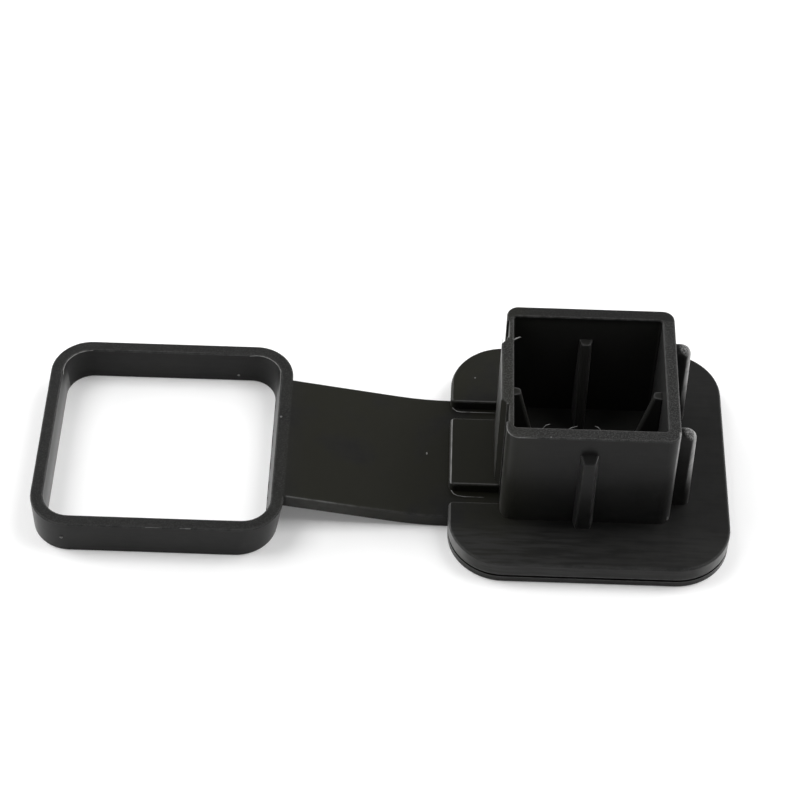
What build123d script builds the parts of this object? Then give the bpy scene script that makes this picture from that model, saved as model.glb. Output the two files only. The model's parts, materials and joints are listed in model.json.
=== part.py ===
from build123d import *
import os
from math import acos, atan2, degrees, hypot, radians, sin, cos, tan

# Rubber cover for the open end of a square hitch receiver.
# It is one moulding: a cover plate with a hollow plug on it, and a strap that
# holds a square ring. The plug goes into the receiver's bore and the ring is
# stretched over the outside of the receiver, so that the cover can't be lost.
# X runs from the ring to the plug, and Z is up with the plug's mouth on top.
# The origin is the middle of the plate's outer face, which lies on Z = 0.
# Sizes are in millimetres and angles in degrees.

# Receiver that the plug fills, a two inch square bore
receiver_bore = 50.8

# Cover plate
plate_length = 75.4
plate_width = 76.2
plate_thickness = 7.5
plate_corner_radius = 15.0
plate_edge_radius = 0.6
plate_foot_chamfer = 0.3
slot_corner_radius = 1.5
face_thickness = 4.0

# Parting groove round the plate's edge
groove_height = 2.6
groove_width = 0.7
groove_depth = 0.6

# Hollow plug, with widths taken at the rim and outer walls that widen downwards
plug_height = 34.2
plug_offset = 0.35
plug_draft = 0.6
end_wall = 3.3
side_wall = 3.5
plug_corner_radius = 3.2
hollow_corner_radius = 0.8
rim_radius = 0.35
rim_chamfer = 0.25
side_gap = 2.7
end_gap = 4.5

# Pad on the plug's wall that faces the strap, and the reliefs beside it
pad_rise = 1.4
pad_end_slant = 2.3
relief_width = 5.8
relief_depth = 0.6

# Two outer ribs on the wall away from the strap, which squeeze into the bore
end_rib_drop = 4.8
rib_spacing = 29.2
end_rib_thickness = 3.5
end_rib_squeeze = 0.3
end_rib_draft = 1.5
end_rib_top_radius = 3.0
end_rib_nose_radius = 1.65

# One outer rib on each side wall, drafted all round
side_rib_drop = 6.2
side_rib_top_slope = 20.0
side_rib_tip_top = 3.2
side_rib_tip_foot = 4.0
side_rib_root_top = 5.5
side_rib_root_foot = 6.9
side_rib_edge_radius = 0.4

# Inner ribs, which stiffen the middle of each wall and are widest at the wall
inner_rib_drop = 8.4
inner_rib_reach = 2.2
inner_rib_taper = 13.0
end_inner_rib_root = 3.4
end_inner_rib_tip = 2.0
side_inner_rib_root = 4.3
side_inner_rib_tip = 2.4
inner_rib_nose_radius = 0.8

# Strap
strap_width = 41.0
strap_thickness = 4.4
strap_run = 44.0
strap_bend_radius = 80.0
strap_edge_radius = 0.4

# Ring
ring_length = 65.7
ring_width = 64.9
ring_wall = 3.4
ring_height = 11.1
ring_corner_radius = 10.8
ring_edge_radius = 0.4
ring_chamfer = 0.25

# Places on the plug that follow from the sizes above
plug_left = plug_offset - receiver_bore / 2
plug_right = plug_offset + receiver_bore / 2 - end_gap
body_left = plug_left + pad_rise
body_length = plug_right - body_left
body_middle = (plug_right + body_left) / 2
plug_width = receiver_bore - 2 * side_gap
relief_face = body_left + relief_depth
hollow_left = plug_left + end_wall
hollow_right = plug_right - end_wall
hollow_length = hollow_right - hollow_left
hollow_middle = (hollow_right + hollow_left) / 2
hollow_width = plug_width - 2 * side_wall
rim_height = plate_thickness + plug_height
pad_width = rib_spacing - relief_width
rib_rows = (-rib_spacing / 2, rib_spacing / 2)

# The strap starts to bend at the plate's edge, and then goes straight to the
# top edge of the ring, at a slope set by the bend and by the strap's rise
plate_left = -plate_length / 2
strap_rise = ring_height - strap_thickness
bend_reach = strap_bend_radius - strap_rise
strap_slope = atan2(strap_run, bend_reach) - acos(strap_bend_radius / hypot(strap_run, bend_reach))

# The ring's wall on the strap's side leans as the strap does
ring_right = plate_left - strap_run
ring_lean = ring_height * tan(strap_slope)
ring_left = ring_right - ring_lean - ring_length

os.makedirs("parts", exist_ok=True)

# Cover plate: a full lower layer, and an upper layer that two slots cut into
# from the strap as far as the plug, with the strap's top as their floor
with BuildPart() as plate:
    with BuildSketch() as lower_outline:
        RectangleRounded(plate_length, plate_width, plate_corner_radius)
    extrude(amount=strap_thickness)
    with BuildSketch(Plane.XY.offset(strap_thickness)) as upper_outline:
        RectangleRounded(plate_length, plate_width, plate_corner_radius)
        with Locations(*[(plate_left, row) for row in rib_rows]):
            Rectangle(2 * (relief_face - plate_left), relief_width, mode=Mode.SUBTRACT)
        left_corners = upper_outline.vertices().group_by(Axis.X)[0].sort_by(Axis.Y)
        fillet(left_corners[1:-1], slot_corner_radius)
    extrude(amount=plate_thickness - strap_thickness)
    plate_top = plate.faces().sort_by(Axis.Z)[-1]
    fillet(plate_top.edges(), plate_edge_radius)
    plate_foot = plate.faces().sort_by(Axis.Z)[0]
    chamfer(plate_foot.edges(), plate_foot_chamfer)
    with BuildSketch(Plane.XY.offset(groove_height)) as groove:
        RectangleRounded(plate_length, plate_width, plate_corner_radius)
        offset(amount=-groove_depth, kind=Kind.INTERSECTION, mode=Mode.SUBTRACT)
    extrude(amount=groove_width / 2, both=True, mode=Mode.SUBTRACT)

# Plug: a square tube whose wall on the strap's side is stepped, with a pad
# that touches the bore between two reliefs. Its outline is drawn at the rim.
pad_root = pad_rise + relief_depth
with BuildPart() as plug:
    with BuildSketch(Plane.XY.offset(rim_height)) as plug_outline:
        with Locations((body_middle, 0)):
            RectangleRounded(body_length, plug_width, plug_corner_radius)
        with Locations(*[(body_left, row) for row in rib_rows]):
            Rectangle(2 * relief_depth, relief_width, mode=Mode.SUBTRACT)
        with BuildLine():
            Polyline(
                (plug_left + pad_root, -pad_width / 2),
                (plug_left + pad_root, pad_width / 2),
                (plug_left, pad_width / 2 - pad_end_slant),
                (plug_left, pad_end_slant - pad_width / 2),
                close=True,
            )
        make_face()
    extrude(amount=face_thickness - rim_height, taper=-plug_draft)

# The two ribs on the far wall have round noses and a rounded top corner
end_rib_top = rim_height - end_rib_drop
end_rib_root = plug_right - end_wall / 2
end_rib_nose = plug_offset + receiver_bore / 2 + end_rib_squeeze
end_rib_spread = (end_rib_top - face_thickness) * tan(radians(end_rib_draft))
with BuildPart() as end_ribs:
    for row in rib_rows:
        with BuildSketch(Plane.XZ.offset(-row)) as end_rib_profile:
            with BuildLine():
                Polyline(
                    (end_rib_root, face_thickness),
                    (end_rib_root, end_rib_top),
                    (end_rib_nose, end_rib_top),
                    (end_rib_nose + end_rib_spread, face_thickness),
                    close=True,
                )
            make_face()
            top_corner = end_rib_profile.vertices().sort_by_distance((end_rib_nose, end_rib_top))[0]
            fillet(top_corner, end_rib_top_radius)
        extrude(amount=end_rib_thickness / 2, both=True)
    side_faces = end_ribs.faces().filter_by(Axis.Y)
    nose_edges = [
        edge
        for edge in side_faces.edges()
        if edge.center().Z > face_thickness and edge.center().X > end_rib_root
    ]
    fillet(nose_edges, end_rib_nose_radius)

# The front and back walls have one rib each in the middle. Its top slopes down
# to its tip, so the loft stands higher than the rib and is split along the slope.
side_rib_top = rim_height - side_rib_drop
side_rib_root = plug_width / 2 - side_wall / 2
top_slope = Plane((0, -plug_width / 2, side_rib_top)).rotated((side_rib_top_slope, 0, 0))
with BuildPart() as side_ribs:
    for height, tip, root in (
        (face_thickness, side_rib_tip_foot, side_rib_root_foot),
        (rim_height, side_rib_tip_top, side_rib_root_top),
    ):
        with BuildSketch(Plane.XY.offset(height)) as side_rib_outline:
            with BuildLine():
                Polyline(
                    (hollow_middle - root / 2, -side_rib_root),
                    (hollow_middle + root / 2, -side_rib_root),
                    (hollow_middle + tip / 2, -receiver_bore / 2),
                    (hollow_middle - tip / 2, -receiver_bore / 2),
                    close=True,
                )
            make_face()
    loft()
    split(bisect_by=top_slope, keep=Keep.BOTTOM)
    side_rib_sides = side_ribs.faces().filter_by(Axis.Z, reverse=True).sort_by(Axis.Y)
    tip_face = side_rib_sides[0]
    top_face = side_ribs.faces().sort_by(Axis.Z)[-1]
    tip_edges = tip_face.edges().sort_by(Axis.Z)[1:]
    top_sides = top_face.edges().sort_by(Axis.Y)[1:-1]
    fillet(tip_edges + top_sides, side_rib_edge_radius)
    mirror(about=Plane.XZ)

# An inner rib stands on a wall at X = 0 and reaches further in as it goes down
# to the floor of the hollow
inner_rib_top = rim_height - inner_rib_drop
inner_rib_foot = inner_rib_reach + (inner_rib_top - face_thickness) * tan(radians(inner_rib_taper))


def make_inner_rib(root, tip):
    with BuildPart() as inner_rib:
        for height, reach in ((face_thickness, inner_rib_foot), (inner_rib_top, inner_rib_reach)):
            with BuildSketch(Plane.XY.offset(height)) as inner_rib_outline:
                with BuildLine():
                    Polyline(
                        (end_wall / 2, -root / 2),
                        (end_wall / 2, root / 2),
                        (-reach, tip / 2),
                        (-reach, -tip / 2),
                        close=True,
                    )
                make_face()
        loft()
        nose_face = inner_rib.faces().sort_by(Axis.X)[0]
        nose_sides = nose_face.edges().filter_by(Axis.Y, reverse=True)
        fillet(nose_sides, inner_rib_nose_radius)
    return inner_rib.part


end_inner_rib = make_inner_rib(end_inner_rib_root, end_inner_rib_tip)
side_inner_rib = make_inner_rib(side_inner_rib_root, side_inner_rib_tip)

# Strap: one gentle bend from the plate's edge, then straight up to the ring,
# where it goes into the middle of the ring's wall
anchor = plate_left + plate_corner_radius / 4
top_corner_x = plate_left - strap_bend_radius * tan(strap_slope / 2)
under_bend_radius = strap_bend_radius + strap_thickness
under_corner_x = plate_left - under_bend_radius * tan(strap_slope / 2)
under_end_x = ring_right - strap_thickness * sin(strap_slope)
under_end_z = ring_height - strap_thickness * cos(strap_slope)
wall_middle = ring_wall / 2
with BuildPart() as strap:
    with BuildSketch(Plane.XZ) as strap_profile:
        with BuildLine():
            top_line = FilletPolyline(
                (anchor, strap_thickness),
                (top_corner_x, strap_thickness),
                (ring_right, ring_height),
                radius=strap_bend_radius,
            )
            under_line = FilletPolyline(
                (under_end_x, under_end_z),
                (under_corner_x, 0),
                (anchor, 0),
                radius=under_bend_radius,
            )
            Polyline(
                top_line @ 1,
                (ring_right - wall_middle, ring_height),
                (under_end_x - wall_middle, under_end_z),
                under_line @ 0,
            )
            Line(under_line @ 1, top_line @ 0)
        make_face()
    extrude(amount=strap_width / 2, both=True)
    strap_sides = strap.faces().filter_by(Axis.Y)
    long_edges = strap_sides.edges().filter_by(Axis.Z, reverse=True)
    fillet(long_edges, strap_edge_radius)

# Ring: its wall on the strap's side leans with the strap, so the opening and
# the outline are longer at the top than at the foot
with BuildPart() as ring:
    for inset, mode in ((0, Mode.ADD), (ring_wall, Mode.SUBTRACT)):
        for height, lean in ((0, 0), (ring_height, ring_lean)):
            with BuildSketch(Plane.XY.offset(height)) as ring_outline:
                with Locations((ring_left + inset, 0)):
                    RectangleRounded(
                        ring_length + lean - 2 * inset,
                        ring_width - 2 * inset,
                        ring_corner_radius - inset,
                        align=(Align.MIN, Align.CENTER),
                    )
        loft(mode=mode)
    ring_foot, ring_top = ring.faces().filter_by(Axis.Z).sort_by(Axis.Z)
    chamfered_edges = ring_foot.edges() + ring_top.inner_wires()[0].edges()
    fillet(ring_top.outer_wire().edges(), ring_edge_radius)
    chamfer(chamfered_edges, ring_chamfer)

# The whole moulding
with BuildPart() as hitch_cover:
    add(plate.part)
    add(plug.part)
    add(end_ribs.part)
    add(side_ribs.part)
    with BuildSketch(Plane.XY.offset(face_thickness)) as hollow_outline:
        with Locations((hollow_middle, 0)):
            RectangleRounded(hollow_length, hollow_width, hollow_corner_radius)
    extrude(amount=rim_height - face_thickness, mode=Mode.SUBTRACT)
    rim = hitch_cover.faces().sort_by(Axis.Z)[-1]
    hollow_edges = rim.inner_wires()[0].edges()
    fillet(rim.outer_wire().edges(), rim_radius)
    chamfer(hollow_edges, rim_chamfer)
    with Locations(
        Location((hollow_right, 0, 0), (0, 0, 0)),
        Location((hollow_left, 0, 0), (0, 0, 180)),
    ):
        add(end_inner_rib)
    with Locations(
        Location((hollow_middle, hollow_width / 2, 0), (0, 0, 90)),
        Location((hollow_middle, -hollow_width / 2, 0), (0, 0, 270)),
    ):
        add(side_inner_rib)
    add(strap.part)
    add(ring.part)

hitch_cover.part.label = "hitch_cover"
export_step(hitch_cover.part, "parts/hitch_cover.step")

print("solids", len(hitch_cover.part.solids()))
print("volume in cm3", round(hitch_cover.part.volume / 1000, 2))
print("strap slope in degrees", round(degrees(strap_slope), 2))
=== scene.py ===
"""Looks of a moulded rubber hitch receiver cover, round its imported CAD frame.

Everything is in metres, in the frame of the CAD: the ring lies at -X, the plug at +X,
and the plate's outer face is on the floor at Z = 0.
"""

import json
from math import cos, pi, radians, sin, sqrt

import bmesh
import bpy
from mathutils import Matrix, Vector


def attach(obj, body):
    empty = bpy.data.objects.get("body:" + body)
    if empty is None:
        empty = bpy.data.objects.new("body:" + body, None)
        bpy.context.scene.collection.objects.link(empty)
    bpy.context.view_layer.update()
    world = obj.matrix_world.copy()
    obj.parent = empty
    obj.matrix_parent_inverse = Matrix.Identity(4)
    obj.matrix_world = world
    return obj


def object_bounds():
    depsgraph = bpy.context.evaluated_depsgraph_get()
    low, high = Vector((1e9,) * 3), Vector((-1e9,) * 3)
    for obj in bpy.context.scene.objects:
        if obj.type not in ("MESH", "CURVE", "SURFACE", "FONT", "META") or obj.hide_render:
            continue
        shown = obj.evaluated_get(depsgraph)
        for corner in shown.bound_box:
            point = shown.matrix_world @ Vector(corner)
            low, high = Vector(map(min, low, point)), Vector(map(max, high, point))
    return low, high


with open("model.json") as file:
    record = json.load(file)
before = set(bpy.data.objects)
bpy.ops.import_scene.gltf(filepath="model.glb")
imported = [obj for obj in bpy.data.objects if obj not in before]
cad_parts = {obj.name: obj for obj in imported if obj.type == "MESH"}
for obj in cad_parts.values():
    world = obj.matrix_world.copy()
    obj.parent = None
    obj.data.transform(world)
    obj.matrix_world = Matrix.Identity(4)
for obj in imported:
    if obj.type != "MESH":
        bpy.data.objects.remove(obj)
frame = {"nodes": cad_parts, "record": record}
cad_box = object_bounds()

MM = 0.001


def mount_place(name):
    """The place of one of the record's mounts."""
    places = {mount["name"]: mount["pos_m"] for mount in frame["record"]["mounts"]}
    return Vector(places[name])


# Places that the frame gives
PLATE_RIGHT = cad_box[1][0]
PLATE_FRONT = cad_box[0][1]
RIM_TOP = cad_box[1][2]
PLATE_TOP = mount_place("receiver_stop").z
PLUG_MIDDLE = mount_place("receiver_plug").x
RING_MIDDLE = mount_place("receiver_loop").x
RING_TOP = 2 * mount_place("receiver_loop").z

# Strap, with the plate's left edge at one end and the ring's top edge at the other
STRAP_RUN = 44.0 * MM
STRAP_WIDTH = 41.0 * MM
PLATE_LEFT = -PLATE_RIGHT
STRAP_LEFT = PLATE_LEFT - STRAP_RUN
STRAP_MIDDLE = PLATE_LEFT - STRAP_RUN / 2
STRAP_FRONT = -STRAP_WIDTH / 2
STRAP_TOP = 4.4 * MM

# Slots beside the plate's tongue: the back edge of each
SLOT_MIDDLE = 14.6 * MM
SLOT_WIDTH = 5.8 * MM
BACK_SLOT = SLOT_MIDDLE + SLOT_WIDTH / 2
FRONT_SLOT = -SLOT_MIDDLE + SLOT_WIDTH / 2

# Parting groove round the plate
GROOVE_HEIGHT = 2.6 * MM
GROOVE_WIDTH = 0.7 * MM
GROOVE_FOOT = GROOVE_HEIGHT - GROOVE_WIDTH / 2
GROOVE_TOP = GROOVE_HEIGHT + GROOVE_WIDTH / 2

# Plug, in the receiver's bore
BORE = 50.8 * MM
PAD_RISE = 1.4 * MM
END_GAP = 4.5 * MM
SIDE_GAP = 2.7 * MM
END_WALL = 3.3 * MM
SIDE_WALL = 3.5 * MM
PLUG_CORNER = 3.2 * MM
PAD_FACE = PLUG_MIDDLE - BORE / 2
RIB_NOSE = PLUG_MIDDLE + BORE / 2
PLUG_LEFT = PAD_FACE + PAD_RISE
PLUG_RIGHT = RIB_NOSE - END_GAP
PLUG_FRONT = SIDE_GAP - BORE / 2
HOLLOW_LEFT = PAD_FACE + END_WALL
HOLLOW_RIGHT = PLUG_RIGHT - END_WALL
HOLLOW_FRONT = PLUG_FRONT + SIDE_WALL
FLOOR_OF_HOLLOW = 4.0 * MM

# Tops of the plug's outer ribs, and how far along X + Z the far ribs' round shoulders reach
FAR_RIB_TOP = RIM_TOP - 4.8 * MM
FRONT_RIB_TOP = RIM_TOP - 6.2 * MM
SHOULDER_RADIUS = 3.0 * MM
RIB_SHOULDER = RIB_NOSE + FAR_RIB_TOP - (2 - sqrt(2)) * SHOULDER_RADIUS

# Ring
RING_WIDTH = 64.9 * MM
RING_WALL = 3.4 * MM
RING_FRONT = -RING_WIDTH / 2
RING_INNER_LEFT = -146.0 * MM
RING_INNER_RIGHT = STRAP_LEFT - RING_WALL
RING_INNER_BACK = RING_WIDTH / 2 - RING_WALL
RING_INNER_CORNER = 7.4 * MM


# Node helpers


def new_material(name):
    """An empty node material and its node tree."""
    material = bpy.data.materials.new(name)
    material.use_nodes = True
    material.node_tree.nodes.clear()
    return material, material.node_tree


def add_node(tree, kind, inputs=None, **settings):
    """A node with its settings, and its inputs set to a value or linked to a socket."""
    node = tree.nodes.new(kind)
    for key, value in settings.items():
        setattr(node, key, value)
    for key, value in (inputs or {}).items():
        if isinstance(value, bpy.types.NodeSocket):
            tree.links.new(value, node.inputs[key])
        else:
            node.inputs[key].default_value = value
    return node


def calc(tree, operation, first, second=0.0):
    """The result of one Math node."""
    node = add_node(tree, "ShaderNodeMath", {0: first, 1: second}, operation=operation)
    return node.outputs["Value"]


def product(tree, first, *others):
    """All the shares multiplied."""
    for other in others:
        first = calc(tree, "MULTIPLY", first, other)
    return first


def most(tree, first, *others):
    """The largest of the shares."""
    for other in others:
        first = calc(tree, "MAXIMUM", first, other)
    return first


def step(tree, value, low, high):
    """A smooth step from 0 at low to 1 at high."""
    node = add_node(
        tree,
        "ShaderNodeMapRange",
        {"Value": value, "From Min": low, "From Max": high},
        interpolation_type="SMOOTHSTEP",
    )
    return node.outputs["Result"]


def band(tree, value, low, high, fade):
    """1 between low and high, with a soft edge of the fade's width outside each."""
    rise = step(tree, value, low=low - fade, high=low)
    return product(tree, rise, step(tree, value, low=high + fade, high=high))


def spread(tree, value, low, high):
    """A value from 0 to 1, spread out between two others."""
    node = add_node(tree, "ShaderNodeMapRange", {"Value": value, "To Min": low, "To Max": high})
    return node.outputs["Result"]


def noise(tree, place, grain, detail=3.0, stretch=(1.0, 1.0, 1.0)):
    """Noise from 0 to 1 whose patches are about as wide as the grain, in metres."""
    mapping = add_node(tree, "ShaderNodeMapping", {"Vector": place, "Scale": stretch})
    node = add_node(
        tree,
        "ShaderNodeTexNoise",
        {"Vector": mapping.outputs["Vector"], "Scale": 1.0 / grain, "Detail": detail},
    )
    return node.outputs["Fac"]


# The Mix node's sockets for colours
MIX_FIRST, MIX_SECOND = 6, 7
MIX_RESULT = 2


def blend(tree, share, first, second):
    """Two colours mixed by a share."""
    inputs = {"Factor": share, MIX_FIRST: first, MIX_SECOND: second}
    node = add_node(tree, "ShaderNodeMix", inputs, data_type="RGBA")
    return node.outputs[MIX_RESULT]


# Camera

FOCAL_MM = 103.257
SENSOR_MM = 36.0
PITCH = radians(49.79)
YAW = radians(-0.97)
ROLL = radians(-1.10)
DISTANCE = 0.64917
AIM = Vector((-0.05194, 0.02376, 0.0))


def make_camera():
    """The photograph's camera: a long lens that looks down from the front."""
    forward = Vector((sin(YAW) * cos(PITCH), cos(YAW) * cos(PITCH), -sin(PITCH)))
    level = Vector((cos(YAW), -sin(YAW), 0.0))
    down = forward.cross(level)
    right = level * cos(ROLL) + down * sin(ROLL)
    up = level * sin(ROLL) - down * cos(ROLL)
    data = bpy.data.cameras.new("camera")
    data.sensor_width = SENSOR_MM
    data.lens = FOCAL_MM
    camera = bpy.data.objects.new("camera", data)
    turn = Matrix((right, up, -forward)).transposed()
    camera.matrix_world = Matrix.Translation(AIM - forward * DISTANCE) @ turn.to_4x4()
    bpy.context.scene.collection.objects.link(camera)
    bpy.context.scene.camera = camera


# Rubber's colours, grains and finish

RUBBER = (0.0090, 0.0090, 0.0088, 1.0)
RUBBER_DUSTY = (0.0127, 0.0127, 0.0123, 1.0)
RUBBER_OLIVE = (0.0115, 0.0115, 0.0078, 1.0)
RUBBER_PLUG_WALLS = (0.0064, 0.0064, 0.0063, 1.0)
# Grey dust, partly painted light
RUBBER_GREY = (0.0215, 0.0215, 0.0209, 1.0)
# Painted shade, for the groove and the foot of the ring's inner wall
RUBBER_SHADE = (0.002, 0.002, 0.002, 1.0)
# Painted light, for the hollow
RUBBER_HOLLOW_LIT = (0.024, 0.024, 0.0225, 1.0)
RUBBER_CUT = (0.048, 0.048, 0.047, 1.0)
# Painted highlight, for sharp edges and the flash
RUBBER_EDGE_HIGHLIGHT = (0.075, 0.075, 0.074, 1.0)
# Painted highlight and painted reflection, for the places that catch light
RUBBER_HIGHLIGHT = (0.26, 0.26, 0.256, 1.0)
# Painted highlight, for the flash beads and the pips
FLASH_HIGHLIGHT = (0.19, 0.19, 0.186, 1.0)

PATCH = 14 * MM
MOTTLE = 2.2 * MM
STREAK = 0.9 * MM
STREAK_STRETCH = (0.1, 1.0, 1.0)
GRAIN = 0.35 * MM
LINES = 0.75 * MM
EDGE = 0.7 * MM
BUMP_HEIGHT = 0.05 * MM
BUMP_STRENGTH = 0.25
GRAIN_BUMP = 0.5

SPECULAR = 0.125
SHEEN = 0.12
SHEEN_ROUGHNESS = 0.3
SMOOTHEST, ROUGHEST = 0.28, 0.38
TRIMMED_ROUGHNESS = 0.15

FLASH_SPECULAR = 0.2
FLASH_SMOOTHEST, FLASH_ROUGHEST = 0.4, 0.55


# Painted highlights and reflections: places painted pale where light catches the rubber


def on_plate(tree, x):
    """1 on the plate and to its right, and 0 on the strap and the ring."""
    return step(tree, x, low=PLATE_LEFT - 0.2 * MM, high=PLATE_LEFT - 0.1 * MM)


def nose_highlights(tree, x, z):
    """Painted highlight on the far ribs' noses, more so towards their tops."""
    nose = step(tree, x, low=RIB_NOSE - 0.9 * MM, high=RIB_NOSE - 0.3 * MM)
    return product(tree, nose, step(tree, z, low=12 * MM, high=28 * MM))


def shoulder_highlights(tree, x, z, grain):
    """Painted highlight on the far ribs' round shoulders, in specks."""
    reach = calc(tree, "ADD", x, z)
    shoulder = step(tree, reach, low=RIB_SHOULDER - 1.9 * MM, high=RIB_SHOULDER - 0.7 * MM)
    beyond_wall = step(tree, x, low=PLUG_RIGHT + 0.8 * MM, high=PLUG_RIGHT + 2.2 * MM)
    specks = spread(tree, step(tree, grain, low=0.4, high=0.6), low=0.2, high=0.8)
    return product(tree, shoulder, beyond_wall, specks)


def plug_corner_highlight(tree, x, y, z):
    """Painted highlight on the right-facing part of the plug's right front corner, towards the rim."""
    corner = band(tree, x, low=PLUG_RIGHT - 0.35 * MM, high=PLUG_RIGHT + 1 * MM, fade=0.4 * MM)
    front = step(tree, y, low=PLUG_FRONT + 3.7 * MM, high=PLUG_FRONT + 2.9 * MM)
    return product(tree, corner, front, step(tree, z, low=16 * MM, high=40 * MM))


def plate_edge_highlights(tree, x, y, z):
    """Painted highlight on the plate's left top edge, most of all on the tongue, and on the back edges
    of the slots.
    """
    under_top = step(tree, z, low=PLATE_TOP - 0.5 * MM, high=PLATE_TOP - 0.2 * MM)
    top = product(tree, under_top, step(tree, z, low=PLATE_TOP + 1 * MM, high=PLATE_TOP + 0.2 * MM))

    left = band(tree, x, low=PLATE_LEFT + 0.45 * MM, high=PLATE_LEFT + 0.6 * MM, fade=0.15 * MM)
    tongue = band(tree, y, low=FRONT_SLOT, high=-FRONT_SLOT, fade=0.5 * MM)
    left = product(tree, top, left, spread(tree, tongue, low=0.25, high=1.0))

    slots = [
        band(tree, y, low=slot + 0.35 * MM, high=slot + 0.45 * MM, fade=0.15 * MM)
        for slot in (BACK_SLOT, FRONT_SLOT)
    ]
    along = band(tree, x, low=PLATE_LEFT + 1.7 * MM, high=PAD_FACE + 0.05 * MM, fade=1 * MM)
    slot_share = 0.3
    return most(tree, left, product(tree, most(tree, *slots), top, along, slot_share))


def strap_edge_highlight(tree, x, y):
    """Painted highlight on the strap's front top edge, near the ring."""
    edge = band(tree, y, low=STRAP_FRONT + 0.1 * MM, high=STRAP_FRONT + 0.2 * MM, fade=0.15 * MM)
    start = step(tree, x, low=STRAP_LEFT + 0.3 * MM, high=STRAP_LEFT + 0.8 * MM)
    end = step(tree, x, low=STRAP_LEFT + 26 * MM, high=STRAP_LEFT + 10 * MM)
    share = 0.3
    return product(tree, edge, start, end, share)


def plate_corner_highlights(tree, x, y, z):
    """Painted highlight on the plate's side over the groove, at the two front corners."""
    side = band(tree, z, low=GROOVE_TOP + 0.6 * MM, high=PLATE_TOP - 0.5 * MM, fade=0.3 * MM)
    right = product(
        tree,
        step(tree, x, low=PLATE_RIGHT - 10.7 * MM, high=PLATE_RIGHT - 0.7 * MM),
        step(tree, y, low=PLATE_FRONT + 24.1 * MM, high=PLATE_FRONT + 14.1 * MM),
    )
    left = product(
        tree,
        step(tree, x, low=PLATE_LEFT + 7.7 * MM, high=PLATE_LEFT + 0.7 * MM),
        step(tree, y, low=PLATE_FRONT + 17.1 * MM, high=PLATE_FRONT + 13.1 * MM),
        on_plate(tree, x),
    )
    share = 0.45
    return product(tree, side, most(tree, right, left), share)


def ring_wall_reflection(tree, x, y, z):
    """Painted reflection on the inner face of the ring's left wall, more so towards the foot."""
    low, high = RING_INNER_LEFT - 0.3 * MM, RING_INNER_LEFT + 0.5 * MM
    wall = band(tree, x, low=low, high=high, fade=0.1 * MM)
    straight = band(tree, y, low=-24 * MM, high=24 * MM, fade=4 * MM)
    share = 0.5
    return product(tree, wall, straight, step(tree, z, low=9 * MM, high=2 * MM), share)


def painted_highlight_places(tree, x, y, z, mottle, grain):
    """All the painted highlights and reflections, where the rubber is painted pale."""
    highlights = most(
        tree,
        nose_highlights(tree, x, z),
        shoulder_highlights(tree, x, z, grain),
        plug_corner_highlight(tree, x, y, z),
        plate_edge_highlights(tree, x, y, z),
        strap_edge_highlight(tree, x, y),
        plate_corner_highlights(tree, x, y, z),
        ring_wall_reflection(tree, x, y, z),
    )
    uneven = spread(tree, step(tree, mottle, low=0.3, high=0.6), low=0.6, high=1.0)
    return product(tree, highlights, uneven)


# Dust, bloom, trimmed places, painted shade, painted light and painted highlights


def dust_patches(tree, patches, mottle, streaks, plug):
    """Dust in patches and streaks, with less of it on the plug."""
    patch_part, mottle_part, streak_part = 0.5, 0.2, 0.3
    dust = calc(tree, "ADD", product(tree, patches, patch_part), product(tree, mottle, mottle_part))
    dust = calc(tree, "ADD", dust, product(tree, streaks, streak_part))
    dust = step(tree, dust, low=0.38, high=0.62)
    return product(tree, dust, spread(tree, plug, low=1.0, high=0.4))


def painted_shade_places(tree, x, y, z, mottle):
    """Painted shade in the groove round the plate, and a painted contact shadow at the foot of the
    ring's right inner wall.
    """
    groove = band(tree, z, low=GROOVE_FOOT - 0.02 * MM, high=GROOVE_TOP + 0.02 * MM, fade=0.1 * MM)
    groove = product(tree, groove, on_plate(tree, x))
    low, high = RING_INNER_RIGHT - 2.6 * MM, RING_INNER_RIGHT - 0.2 * MM
    foot = product(
        tree,
        band(tree, x, low=low, high=high, fade=0.1 * MM),
        band(tree, y, low=-22 * MM, high=22 * MM, fade=2 * MM),
        step(tree, z, low=3.2 * MM, high=2.2 * MM),
        step(tree, mottle, low=0.44, high=0.52),
    )
    return most(tree, groove, foot)


def hollow_painted_light(tree, x, y, z):
    """Painted light in the hollow, a paler colour standing in for light that falls into it, except on
    its right wall.
    """
    soft = 0.2 * MM
    return product(
        tree,
        band(tree, x, low=HOLLOW_LEFT, high=HOLLOW_RIGHT - 0.4 * MM, fade=soft),
        band(tree, y, low=HOLLOW_FRONT, high=-HOLLOW_FRONT, fade=soft),
        step(tree, z, low=RIM_TOP, high=RIM_TOP - 3 * MM),
        step(tree, z, low=FLOOR_OF_HOLLOW - 1 * MM, high=FLOOR_OF_HOLLOW),
    )


def olive_bloom(tree, x, patches):
    """Bloom on the strap, the tongue and the plate's left, with the mould's fine lines."""
    start = step(tree, x, low=STRAP_LEFT - 6 * MM, high=STRAP_LEFT + 8 * MM)
    end = step(tree, x, low=-8 * MM, high=-32 * MM)
    line_share = 0.35
    lines = calc(tree, "SINE", product(tree, x, 2 * pi / LINES))
    lines = product(tree, lines, step(tree, patches, low=0.45, high=0.65), line_share)
    lines = calc(tree, "ADD", step(tree, patches, low=0.3, high=0.55), lines)
    return product(tree, start, end, lines)


def front_dust_and_light(tree, x, y, z, streaks):
    """Grey dust on the plate in front of the plug, most of it on the left, and partly painted light
    that brightens the plate where the plug shades it.
    """
    return product(
        tree,
        step(tree, y, low=-22 * MM, high=-31 * MM),
        step(tree, z, low=PLATE_TOP + 1 * MM, high=PLATE_TOP),
        step(tree, x, low=PLATE_LEFT - 12 * MM, high=PLATE_LEFT - 2 * MM),
        spread(tree, step(tree, x, low=10 * MM, high=-14 * MM), low=0.35, high=0.8),
        spread(tree, step(tree, streaks, low=0.35, high=0.65), low=0.35, high=1.5),
    )


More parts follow.
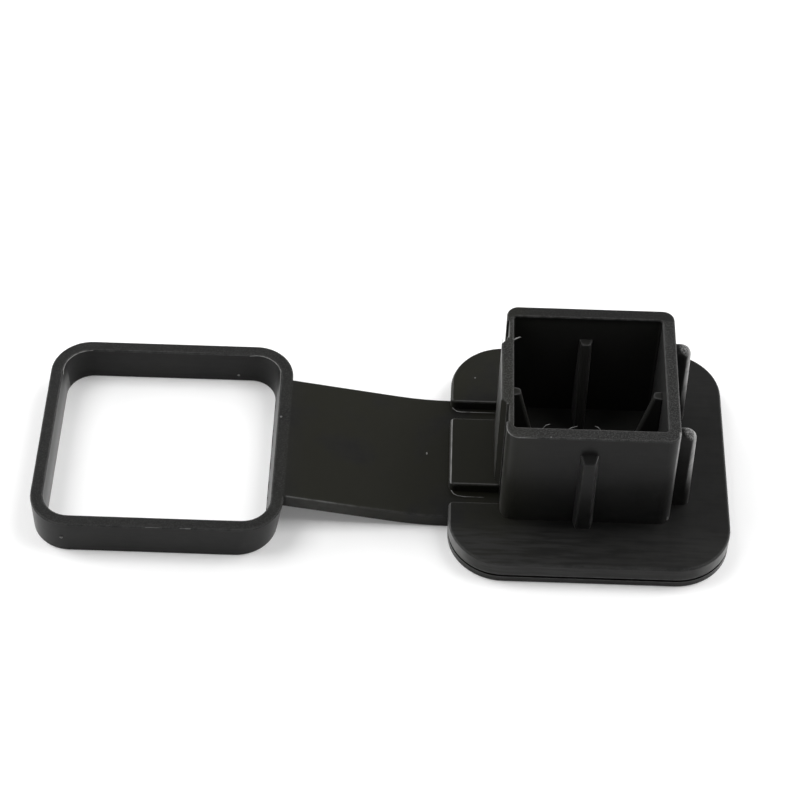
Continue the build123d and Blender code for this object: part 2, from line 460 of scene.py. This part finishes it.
def trimmed_places(tree, x, y, z):
    """The rim and the ring's top, which were trimmed: the rim's back and the ring less so."""
    rim = step(tree, z, low=RIM_TOP - 0.35 * MM, high=RIM_TOP - 0.05 * MM)
    back = step(tree, y, low=18.5 * MM, high=19.5 * MM)
    rim = product(tree, rim, spread(tree, back, low=1.0, high=0.35))
    ring = step(tree, z, low=RING_TOP - 0.3 * MM, high=RING_TOP - 0.05 * MM)
    ring_side = step(tree, x, low=STRAP_LEFT + 0.4 * MM, high=STRAP_LEFT - 0.4 * MM)
    ring_share = 0.45
    return most(tree, rim, product(tree, ring, ring_side, ring_share))


def edge_highlights(tree, mottle, painted_shade):
    """Painted highlight on sharp edges, uneven, and none where shade is painted."""
    inside = add_node(
        tree, "ShaderNodeAmbientOcclusion", {"Distance": EDGE}, samples=8, inside=True, only_local=True
    )
    edges = step(tree, inside.outputs["AO"], low=0.93, high=0.6)
    uneven = spread(tree, step(tree, mottle, low=0.35, high=0.6), low=0.4, high=1.0)
    return product(tree, edges, uneven, spread(tree, painted_shade, low=1.0, high=0.0))


def make_rubber():
    """Black moulded rubber, with its dust, bloom and trimmed places, painted shade, painted light, and
    painted highlights on its edges and other places.
    """
    material, tree = new_material("black_rubber")
    place = add_node(tree, "ShaderNodeTexCoord").outputs["Object"]
    axes = add_node(tree, "ShaderNodeSeparateXYZ", {"Vector": place}).outputs
    x, y, z = axes["X"], axes["Y"], axes["Z"]
    patches = noise(tree, place, PATCH, detail=4.0)
    mottle = noise(tree, place, MOTTLE, detail=5.0)
    streaks = noise(tree, place, STREAK, detail=4.0, stretch=STREAK_STRETCH)
    grain = noise(tree, place, GRAIN)

    # The plug's walls are darker than the rest
    plug = product(
        tree,
        step(tree, z, low=PLATE_TOP, high=PLATE_TOP + 6 * MM),
        step(tree, x, low=STRAP_MIDDLE, high=STRAP_MIDDLE + 5 * MM),
    )
    painted_shade = painted_shade_places(tree, x, y, z, mottle)
    trimmed = trimmed_places(tree, x, y, z)
    specks = spread(tree, step(tree, grain, low=0.42, high=0.68), low=0.08, high=0.85)

    colour = blend(tree, plug, RUBBER, RUBBER_PLUG_WALLS)
    colour = blend(tree, dust_patches(tree, patches, mottle, streaks, plug), colour, RUBBER_DUSTY)
    # Painted shade in the groove and at the foot of the ring's wall
    colour = blend(tree, painted_shade, colour, RUBBER_SHADE)
    # Painted light in the hollow
    colour = blend(tree, hollow_painted_light(tree, x, y, z), colour, RUBBER_HOLLOW_LIT)
    colour = blend(tree, olive_bloom(tree, x, patches), colour, RUBBER_OLIVE)
    # Grey dust with painted light on the plate's front
    colour = blend(tree, front_dust_and_light(tree, x, y, z, streaks), colour, RUBBER_GREY)
    colour = blend(tree, product(tree, trimmed, specks), colour, RUBBER_CUT)
    # Painted highlights on sharp edges
    colour = blend(tree, edge_highlights(tree, mottle, painted_shade), colour, RUBBER_EDGE_HIGHLIGHT)
    # Painted highlights and reflections on the places that catch light
    colour = blend(tree, painted_highlight_places(tree, x, y, z, mottle, grain), colour, RUBBER_HIGHLIGHT)

    roughness = spread(tree, mottle, low=SMOOTHEST, high=ROUGHEST)
    roughness = calc(tree, "ADD", roughness, product(tree, trimmed, TRIMMED_ROUGHNESS))
    height = calc(tree, "ADD", product(tree, grain, GRAIN_BUMP), mottle)
    bump = add_node(
        tree,
        "ShaderNodeBump",
        {"Height": height, "Strength": BUMP_STRENGTH, "Distance": BUMP_HEIGHT},
    )
    shader = add_node(
        tree,
        "ShaderNodeBsdfPrincipled",
        {
            "Base Color": colour,
            "Roughness": roughness,
            "Specular IOR Level": spread(tree, painted_shade, low=SPECULAR, high=0.0),
            "Sheen Weight": SHEEN,
            "Sheen Roughness": SHEEN_ROUGHNESS,
            "Normal": bump.outputs["Normal"],
        },
    )
    add_node(tree, "ShaderNodeOutputMaterial", {"Surface": shader.outputs["BSDF"]})
    return material


def make_flash_highlight_rubber():
    """The paler rubber of thin flash and of small pips; its pale colour is a painted highlight,
    standing in for the light that thin ridges catch.
    """
    material, tree = new_material("flash_highlight_rubber")
    place = add_node(tree, "ShaderNodeTexCoord").outputs["Object"]
    mottle = noise(tree, place, MOTTLE)
    colour = blend(tree, step(tree, mottle, low=0.3, high=0.6), RUBBER_EDGE_HIGHLIGHT, FLASH_HIGHLIGHT)
    roughness = spread(tree, mottle, low=FLASH_SMOOTHEST, high=FLASH_ROUGHEST)
    shader = add_node(
        tree,
        "ShaderNodeBsdfPrincipled",
        {"Base Color": colour, "Roughness": roughness, "Specular IOR Level": FLASH_SPECULAR},
    )
    add_node(tree, "ShaderNodeOutputMaterial", {"Surface": shader.outputs["BSDF"]})
    return material


# Flash and pips, pale as a painted highlight

BEAD_END = 0.5
PIP_RADIUS = 0.5 * MM


def add_piece(name, mesh):
    """A small piece in the pale flash rubber, which moves with the cover; its paleness is a painted
    highlight.
    """
    mesh.materials.append(flash_highlight_rubber)
    mesh.shade_smooth()
    piece = bpy.data.objects.new(name, mesh)
    bpy.context.scene.collection.objects.link(piece)
    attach(piece, "root")


def make_bead(name, anchor, path, radius):
    """A thin round bead of flash with narrowing ends. Its path, in millimetres, starts from
    the anchor, a place in metres."""
    curve = bpy.data.curves.new(name, "CURVE")
    curve.dimensions = "3D"
    curve.bevel_depth = radius * MM
    curve.bevel_resolution = 1
    curve.use_fill_caps = True
    spline = curve.splines.new("POLY")
    spline.points.add(len(path) - 1)
    for point, place in zip(spline.points, path):
        point.co = (*(Vector(anchor) + Vector(place) * MM), 1.0)
    spline.points[0].radius = BEAD_END
    spline.points[-1].radius = BEAD_END
    holder = bpy.data.objects.new(name + "_path", curve)
    mesh = bpy.data.meshes.new_from_object(holder)
    bpy.data.objects.remove(holder)
    add_piece(name, mesh)


def make_pip(name, anchor, place, size):
    """A small rounded pip. Its place from the anchor, and its size, are in millimetres."""
    mesh = bpy.data.meshes.new(name)
    form = bmesh.new()
    bmesh.ops.create_icosphere(form, subdivisions=2, radius=PIP_RADIUS)
    bmesh.ops.scale(form, vec=size, verts=form.verts)
    bmesh.ops.translate(form, vec=Vector(anchor) + Vector(place) * MM, verts=form.verts)
    form.to_mesh(mesh)
    form.free()
    add_piece(name, mesh)


def arc(radius, start, count, turn=15, height=0.0):
    """Points of an arc round the anchor, a turn in degrees apart, in millimetres."""
    angles = [radians(start + turn * number) for number in range(count)]
    return [(radius * cos(angle), radius * sin(angle), height) for angle in angles]


def make_slot_flash():
    """Flash round the foot of the two slots' walls, pale as a painted highlight."""
    anchor = (PLATE_LEFT, BACK_SLOT, STRAP_TOP)
    path = [(0.2, 2.7, 0), (0.4, 1.1, 0), (0.9, -0.1, 0), (1.8, -0.9, 0), (3.1, -1.15, 0)]
    make_bead("back_slot_flash", anchor, path + [(14.1, -1.1, 0)], 0.15)
    anchor = (PLATE_LEFT, FRONT_SLOT, STRAP_TOP)
    path = [(0.4, 2.1, 0), (0.7, 0.3, 0), (1.4, -0.9, 0), (2.4, -1.5, 0), (4.3, -1.8, 0)]
    make_bead("front_slot_flash", anchor, path + [(9.7, -1.8, -0.05)], 0.13)


def make_rim_flash():
    """Flash on the rim: on the pad, on the relief behind it, round the left front corner, and
    on the inner edges, all pale as a painted highlight."""
    pad = (PAD_FACE, 0, RIM_TOP)
    make_bead("pad_flash", pad, [(0.15, 11, -0.2), (0.1, 3, -0.2), (0.1, -10.2, -0.2)], 0.13)
    make_bead("relief_flash", pad, [(2.1, 18.4, -0.2), (2.1, 12.6, -0.2)], 0.16)

    corner = (PLUG_LEFT + PLUG_CORNER, PLUG_FRONT + PLUG_CORNER, RIM_TOP)
    round_part = arc(radius=3.1, start=180, count=7, height=-0.2)
    make_bead("corner_flash", corner, [(-3.1, 2.1, -0.2), *round_part, (5.45, -3.1, -0.2)], 0.12)

    left = (HOLLOW_LEFT, 0, RIM_TOP)
    path = [(-0.25, 10.8, -0.3), (0.55, 11.3, -0.2), (1.65, 11.9, -0.2)]
    make_bead("rim_flash_left", left, path, 0.26)
    front = (0, HOLLOW_FRONT, RIM_TOP)
    path = [(-14.4, -0.1, -0.3), (-13.6, 1.0, -0.2), (-12.5, 1.4, -0.2)]
    make_bead("rim_flash_1", front, path, 0.12)
    path = [(-7.9, -0.1, -0.3), (-7.0, 0.4, -0.2), (-5.5, 1.0, -0.2)]
    make_bead("rim_flash_2", front, path, 0.1)
    path = [(-1.0, 1.2, -0.2), (-0.2, 0.8, -0.2), (0.6, -0.1, -0.3)]
    make_bead("rim_flash_3", front, path, 0.14)


def make_ring_flash():
    """Flash on the ring's top edges: round the inner back corners, and along the front, pale as a
    painted highlight.
    """
    turn_back, radius = RING_INNER_BACK - RING_INNER_CORNER, RING_INNER_CORNER / MM
    left_turn = (RING_INNER_LEFT + RING_INNER_CORNER, turn_back, RING_TOP)
    left_path = arc(radius, start=195, count=8, turn=-15, height=-0.1)
    make_bead("ring_flash_left", left_turn, left_path, 0.12)
    right_turn = (RING_INNER_RIGHT - RING_INNER_CORNER, turn_back, RING_TOP)
    right_path = arc(radius, start=105, count=7, turn=-15, height=-0.1)
    make_bead("ring_flash_right", right_turn, [*right_path, (7.35, -9.65, -0.1)], 0.12)

    front = (RING_MIDDLE, RING_FRONT, RING_TOP)
    make_bead("ring_flash_1", front, [(-1.4, 0.15, -0.15), (3.1, 0.15, -0.15)], 0.12)
    make_bead("ring_flash_2", front, [(7.6, 0.15, -0.15), (10.6, 0.15, -0.15)], 0.14)


def make_rib_highlight():
    """A pale bead on the right edge of the front rib's sloping top: a painted highlight."""
    anchor = ((PLUG_LEFT + PLUG_RIGHT) / 2, PLUG_FRONT, FRONT_RIB_TOP)
    make_bead("rib_highlight", anchor, [(1.55, -0.2, -0.2), (1.0, -2.1, -0.9)], 0.16)


def make_pips():
    """The pips that show on the cover."""
    make_pip("pip_strap", (PLATE_LEFT, 0, STRAP_TOP), (-6.2, 0.9, 0.25), (0.45, 0.8, 0.3))
    make_pip("pip_plate", (PLATE_LEFT, 0, PLATE_TOP), (6.7, 26.4, 0), (0.5, 0.5, 0.3))
    make_pip("pip_ring_front", (RING_MIDDLE, RING_FRONT, 0), (-24.2, 0, 5.6), (0.9, 0.4, 0.9))
    make_pip("pip_ring_back", (RING_MIDDLE, RING_INNER_BACK, 0), (18.2, 0, 2.4), (0.8, 0.4, 0.8))
    make_pip("pip_junction", (STRAP_LEFT, 0, RING_TOP), (-2.5, 7, 0), (0.7, 0.7, 0.3))
    make_pip("pip_rim", (0, PLUG_FRONT, RIM_TOP), (-12.3, 0.4, -0.15), (0.6, 0.4, 0.4))
    foot = (PLUG_RIGHT, PLUG_FRONT, PLATE_TOP)
    make_pip("pip_plug_foot", foot, (-0.55, 0.8, 1.1), (0.7, 0.6, 1.4))


# Studio

PAPER = (0.9, 0.9, 0.9, 1.0)
FLOOR_SIZE = 6.0
FLOOR_GAP = 0.02 * MM
FLOOR_VEIL = 0.12
FAR_VEIL = 0.95
FAR_START = 0.35
FAR_END = 1.2
WALL_HEIGHT = 1.2
WALL_SIDES = 96

LAMP_AIM = Vector((-0.05, 0.0, 0.0))
SKY = (1.0, 1.0, 1.0, 1.0)
SKY_STRENGTH = 0.26


def make_paper(name, near_veil):
    """White paper with a veil of light over it in what the camera and reflections see. The veil
    is white far from the cover, where the lamps fade."""
    material, tree = new_material(name)
    diffuse = add_node(tree, "ShaderNodeBsdfDiffuse", {"Color": PAPER})
    place = add_node(tree, "ShaderNodeNewGeometry").outputs["Position"]
    away = add_node(tree, "ShaderNodeVectorMath", {0: place}, operation="LENGTH").outputs["Value"]
    veil = spread(tree, step(tree, away, low=FAR_START, high=FAR_END), low=near_veil, high=FAR_VEIL)
    ray = add_node(tree, "ShaderNodeLightPath").outputs
    seen = most(tree, ray["Is Camera Ray"], ray["Is Glossy Ray"], ray["Is Transmission Ray"])
    glow = add_node(tree, "ShaderNodeEmission", {"Strength": product(tree, seen, veil)})
    paper = add_node(
        tree, "ShaderNodeAddShader", {0: diffuse.outputs["BSDF"], 1: glow.outputs["Emission"]}
    )
    add_node(tree, "ShaderNodeOutputMaterial", {"Surface": paper.outputs["Shader"]})
    return material


def make_floor():
    """A wide floor of paper, just under the cover."""
    bpy.ops.mesh.primitive_plane_add(size=FLOOR_SIZE, location=(0.0, 0.0, -FLOOR_GAP))
    floor = bpy.context.object
    floor.name = "floor"
    floor.data.materials.append(make_paper("floor_paper", FLOOR_VEIL))


def make_wall():
    """A low round wall of paper at the floor's edge, which closes the view near the horizon."""
    bpy.ops.mesh.primitive_cylinder_add(
        vertices=WALL_SIDES,
        radius=FLOOR_SIZE / 2,
        depth=WALL_HEIGHT,
        end_fill_type="NOTHING",
        location=(0.0, 0.0, WALL_HEIGHT / 2),
    )
    wall = bpy.context.object
    wall.name = "backdrop"
    wall.data.materials.append(make_paper("backdrop_paper", FAR_VEIL))


def make_lamp(name, place, size, power):
    """A soft rectangular lamp, turned to the cover."""
    data = bpy.data.lights.new(name, "AREA")
    data.shape = "RECTANGLE"
    data.size, data.size_y = size
    data.energy = power
    lamp = bpy.data.objects.new(name, data)
    lamp.location = place
    lamp.rotation_euler = (LAMP_AIM - Vector(place)).to_track_quat("-Z", "Y").to_euler()
    bpy.context.scene.collection.objects.link(lamp)


def make_lights():
    """Two high lamps, a large one behind, one low on each side, and an even sky."""
    make_lamp("left_top_light", place=(-0.75, 0.12, 1.05), size=(0.7, 0.7), power=7.0)
    make_lamp("right_top_light", place=(0.65, 0.12, 1.05), size=(0.7, 0.7), power=7.0)
    make_lamp("back_light", place=(-0.05, 1.10, 0.95), size=(2.2, 1.1), power=3.0)
    make_lamp("left_light", place=(-1.00, 0.40, 0.40), size=(1.2, 0.5), power=7.2)
    make_lamp("right_light", place=(0.90, 0.40, 0.40), size=(1.2, 0.5), power=7.2)
    world = bpy.data.worlds.new("studio")
    bpy.context.scene.world = world
    world.use_nodes = True
    sky = world.node_tree.nodes["Background"]
    sky.inputs["Color"].default_value = SKY
    sky.inputs["Strength"].default_value = SKY_STRENGTH


make_camera()
cover = frame["nodes"]["hitch_cover"]
cover.data.materials.clear()
cover.data.materials.append(make_rubber())
flash_highlight_rubber = make_flash_highlight_rubber()
make_slot_flash()
make_rim_flash()
make_ring_flash()
make_rib_highlight()
make_pips()
make_floor()
make_wall()
make_lights()
bpy.context.scene.view_settings.view_transform = "Standard"
